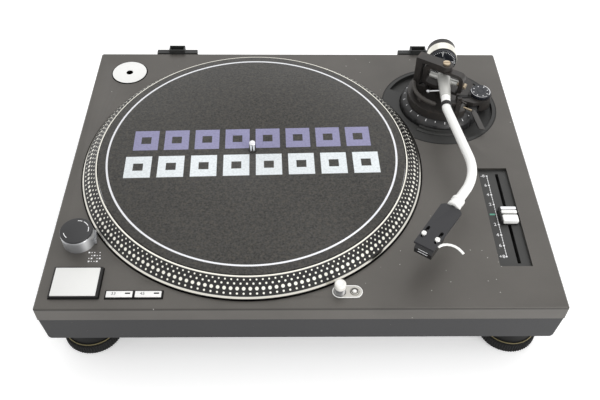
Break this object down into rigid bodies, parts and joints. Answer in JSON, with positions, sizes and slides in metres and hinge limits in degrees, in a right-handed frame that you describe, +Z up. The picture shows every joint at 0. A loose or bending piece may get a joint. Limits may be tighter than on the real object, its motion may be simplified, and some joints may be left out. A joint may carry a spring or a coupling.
{
  "type": "turntable",
  "caption": "Direct drive turntable with an S shaped tonearm, counterweight, pitch fader, strobe tower and a slipmat on a dotted platter",
  "frame": {"origin": "centre of the bounding box in X and Y, on the surface that the feet stand on", "axes": "X to the right as seen from the front, Y to the back, Z up"},
  "size_m": [0.453, 0.36, 0.141],
  "materials": {
    "deck_paint": "satin",
    "base_rubber": "matte",
    "foot_rubber": "matte",
    "black_plastic": "matte",
    "black_metal": "satin",
    "white_plastic": "satin",
    "clear": "clear",
    "silver": "satin",
    "platter_aluminium": "machined",
    "chrome": "polished",
    "steel": "satin",
    "brass": "satin",
    "copper": "satin",
    "iron": "matte",
    "board": "matte",
    "felt": "felt"
  },
  "bodies": {
    "chassis": {"top_cabinet": "deck_paint", "rubber_base": "base_rubber", "bottom_cover": "black_plastic", "power_cord_gland": "black_plastic", "phono_cord_gland": "black_plastic", "hinge_socket_left": "black_plastic", "hinge_socket_right": "black_plastic", "motor_stator": "copper", "bearing_housing": "steel", "circuit_board": "board", "power_transformer": "iron", "strobe_housing": "silver", "strobe_window": "clear", "button_board": "board", "pitch_panel": "black_metal", "lamp_plate": "silver", "tonearm_dish": "deck_paint"},
    "turning_platter": {"spindle": "steel", "platter": "platter_aluminium", "rotor_magnet": "iron"},
    "mat": {"slipmat": "felt"},
    "adaptor": {"single_adaptor": "white_plastic"},
    "power": {"power_knob": "black_metal"},
    "start": {"start_button": "white_plastic"},
    "key_33": {"speed_button_33": "white_plastic"},
    "key_45": {"speed_button_45": "white_plastic"},
    "fader": {"pitch_fader": "chrome"},
    "lamp": {"target_lamp": "silver"},
    "lamp_catch": {"lamp_button": "silver"},
    "height_wheel": {"height_ring": "black_metal"},
    "arm_stand": {"tonearm_base": "black_metal", "pivot_bracket": "black_metal", "top_pivot_screw": "brass"},
    "skate_dial": {"anti_skate_knob": "black_plastic"},
    "cue": {"cue_lever": "silver"},
    "lifter": {"lift_bar": "black_plastic"},
    "clip": {"arm_rest_clip": "black_plastic"},
    "yoke": {"gimbal_ring": "black_metal", "side_pivot_screw": "brass"},
    "arm": {"arm_housing": "silver", "arm_tube": "silver"},
    "collar": {"headshell_collar": "silver"},
    "head": {"headshell": "black_metal", "finger_lift": "chrome", "cartridge": "black_plastic", "stylus": "black_plastic", "cartridge_screw_left": "steel", "cartridge_screw_right": "steel"},
    "weight_bush": {"counterweight_bush": "steel"},
    "weight": {"counterweight": "silver"},
    "force_dial": {"stylus_force_dial": "black_plastic"},
    "stud_front_left": {"foot_stud_front_left": "steel"},
    "stud_front_right": {"foot_stud_front_right": "steel"},
    "stud_rear_left": {"foot_stud_rear_left": "steel"},
    "stud_rear_right": {"foot_stud_rear_right": "steel"},
    "wheel_front_left": {"foot_front_left": "foot_rubber"},
    "wheel_front_right": {"foot_front_right": "foot_rubber"},
    "wheel_rear_left": {"foot_rear_left": "foot_rubber"},
    "wheel_rear_right": {"foot_rear_right": "foot_rubber"}
  },
  "joints": [
    {"name": "platter_spin", "type": "hinge", "parent": "chassis", "child": "turning_platter", "pos_m": [-0.047, -0.006, 0.09], "axis": [0, 0, -1], "continuous": true},
    {"name": "slipmat_slip", "type": "hinge", "parent": "turning_platter", "child": "mat", "pos_m": [-0.047, -0.006, 0.098], "axis": [0, 0, -1], "continuous": true},
    {"name": "single_adaptor_lift", "type": "slide", "parent": "chassis", "child": "adaptor", "axis": [0, 0, 1], "range_m": [0, 0.012]},
    {"name": "power_turn", "type": "hinge", "parent": "chassis", "child": "power", "pos_m": [-0.2007, -0.106, 0.098], "axis": [0, 0, -1], "range_deg": [0, 50]},
    {"name": "start_press", "type": "slide", "parent": "chassis", "child": "start", "axis": [0, 0, -1], "range_m": [0, 0.0012], "stiffness_N_per_m": 600, "springref_m": -0.001},
    {"name": "key_33_press", "type": "slide", "parent": "chassis", "child": "key_33", "axis": [0, 0, -1], "range_m": [0, 0.001], "stiffness_N_per_m": 600, "springref_m": -0.001},
    {"name": "key_45_press", "type": "slide", "parent": "chassis", "child": "key_45", "axis": [0, 0, -1], "range_m": [0, 0.001], "stiffness_N_per_m": 600, "springref_m": -0.001},
    {"name": "pitch_slide", "type": "slide", "parent": "chassis", "child": "fader", "axis": [0, 1, 0], "range_m": [-0.048, 0.0505]},
    {"name": "lamp_pop", "type": "slide", "parent": "chassis", "child": "lamp", "axis": [0, 0, -1], "range_m": [0, 0.0115]},
    {"name": "lamp_catch_press", "type": "slide", "parent": "chassis", "child": "lamp_catch", "axis": [0, 0, -1], "range_m": [0, 0.001], "stiffness_N_per_m": 400, "springref_m": -0.001},
    {"name": "height_turn", "type": "hinge", "parent": "chassis", "child": "height_wheel", "pos_m": [0.1504, 0.0812, 0.086], "axis": [0, 0, 1], "range_deg": [0, 130]},
    {"name": "height_rise", "type": "slide", "parent": "chassis", "child": "arm_stand", "axis": [0, 0, 1], "range_m": [0, 0.006]},
    {"name": "skate_turn", "type": "hinge", "parent": "arm_stand", "child": "skate_dial", "pos_m": [0.1927, 0.0826, 0.1], "axis": [0, 0, -1], "range_deg": [0, 270]},
    {"name": "cue_raise", "type": "hinge", "parent": "arm_stand", "child": "cue", "pos_m": [0.17089, 0.06519, 0.0954], "axis": [-0.6157, -0.788, 0], "range_deg": [0, 40]},
    {"name": "lift_bar_rise", "type": "slide", "parent": "arm_stand", "child": "lifter", "axis": [0, 0, 1], "range_m": [0, 0.003]},
    {"name": "clip_fold", "type": "hinge", "parent": "arm_stand", "child": "clip", "pos_m": [0.1618, 0.0509, 0.1196], "axis": [0, -1, 0], "range_deg": [0, 110]},
    {"name": "arm_swing", "type": "hinge", "parent": "arm_stand", "child": "yoke", "pos_m": [0.1504, 0.0812, 0.12], "axis": [0, 0, -1], "range_deg": [0, 42]},
    {"name": "arm_lift", "type": "hinge", "parent": "yoke", "child": "arm", "pos_m": [0.1504, 0.0812, 0.12], "axis": [-0.848, 0.5299, 0], "range_deg": [-0.9, 8]},
    {"name": "collar_turn", "type": "hinge", "parent": "arm", "child": "collar", "pos_m": [0.13981, -0.08885, 0.12], "axis": [-0.5736, -0.8192, 0], "range_deg": [0, 60]},
    {"name": "headshell_pull", "type": "slide", "parent": "arm", "child": "head", "axis": [-0.5736, -0.8192, 0], "range_m": [0, 0.008]},
    {"name": "weight_bush_slide", "type": "slide", "parent": "arm", "child": "weight_bush", "axis": [0.0819, 0.9966, 0], "range_m": [-0.0005, 0.006]},
    {"name": "weight_turn", "type": "hinge", "parent": "weight_bush", "child": "weight", "pos_m": [0.1504, 0.0812, 0.12], "axis": [0.0819, 0.9966, 0], "range_deg": [0, 1080]},
    {"name": "force_dial_turn", "type": "hinge", "parent": "weight_bush", "child": "force_dial", "pos_m": [0.1504, 0.0812, 0.12], "axis": [0.0819, 0.9966, 0], "continuous": true},
    {"name": "foot_rise_front_left", "type": "slide", "parent": "chassis", "child": "stud_front_left", "axis": [0, 0, -1], "range_m": [0, 0.0063]},
    {"name": "foot_turn_front_left", "type": "hinge", "parent": "stud_front_left", "child": "wheel_front_left", "pos_m": [-0.1955, -0.1465, 0.02], "axis": [0, 0, 1], "range_deg": [0, 1440]},
    {"name": "foot_rise_front_right", "type": "slide", "parent": "chassis", "child": "stud_front_right", "axis": [0, 0, -1], "range_m": [0, 0.0063]},
    {"name": "foot_turn_front_right", "type": "hinge", "parent": "stud_front_right", "child": "wheel_front_right", "pos_m": [0.1955, -0.1465, 0.02], "axis": [0, 0, 1], "range_deg": [0, 1440]},
    {"name": "foot_rise_rear_left", "type": "slide", "parent": "chassis", "child": "stud_rear_left", "axis": [0, 0, -1], "range_m": [0, 0.0063]},
    {"name": "foot_turn_rear_left", "type": "hinge", "parent": "stud_rear_left", "child": "wheel_rear_left", "pos_m": [-0.1955, 0.1375, 0.02], "axis": [0, 0, 1], "range_deg": [0, 1440]},
    {"name": "foot_rise_rear_right", "type": "slide", "parent": "chassis", "child": "stud_rear_right", "axis": [0, 0, -1], "range_m": [0, 0.0063]},
    {"name": "foot_turn_rear_right", "type": "hinge", "parent": "stud_rear_right", "child": "wheel_rear_right", "pos_m": [0.1955, 0.1375, 0.02], "axis": [0, 0, 1], "range_deg": [0, 1440]}
  ],
  "couplings": [
    {"joint": "height_rise", "follows": "height_turn", "m_per_rad": 0.0026},
    {"joint": "lift_bar_rise", "follows": "cue_raise", "m_per_rad": 0.0042},
    {"joint": "weight_bush_slide", "follows": "weight_turn", "m_per_rad": 0.0003},
    {"joint": "foot_rise_front_left", "follows": "foot_turn_front_left", "m_per_rad": 0.000238},
    {"joint": "foot_rise_front_right", "follows": "foot_turn_front_right", "m_per_rad": 0.000238},
    {"joint": "foot_rise_rear_left", "follows": "foot_turn_rear_left", "m_per_rad": 0.000238},
    {"joint": "foot_rise_rear_right", "follows": "foot_turn_rear_right", "m_per_rad": 0.000238}
  ]
}
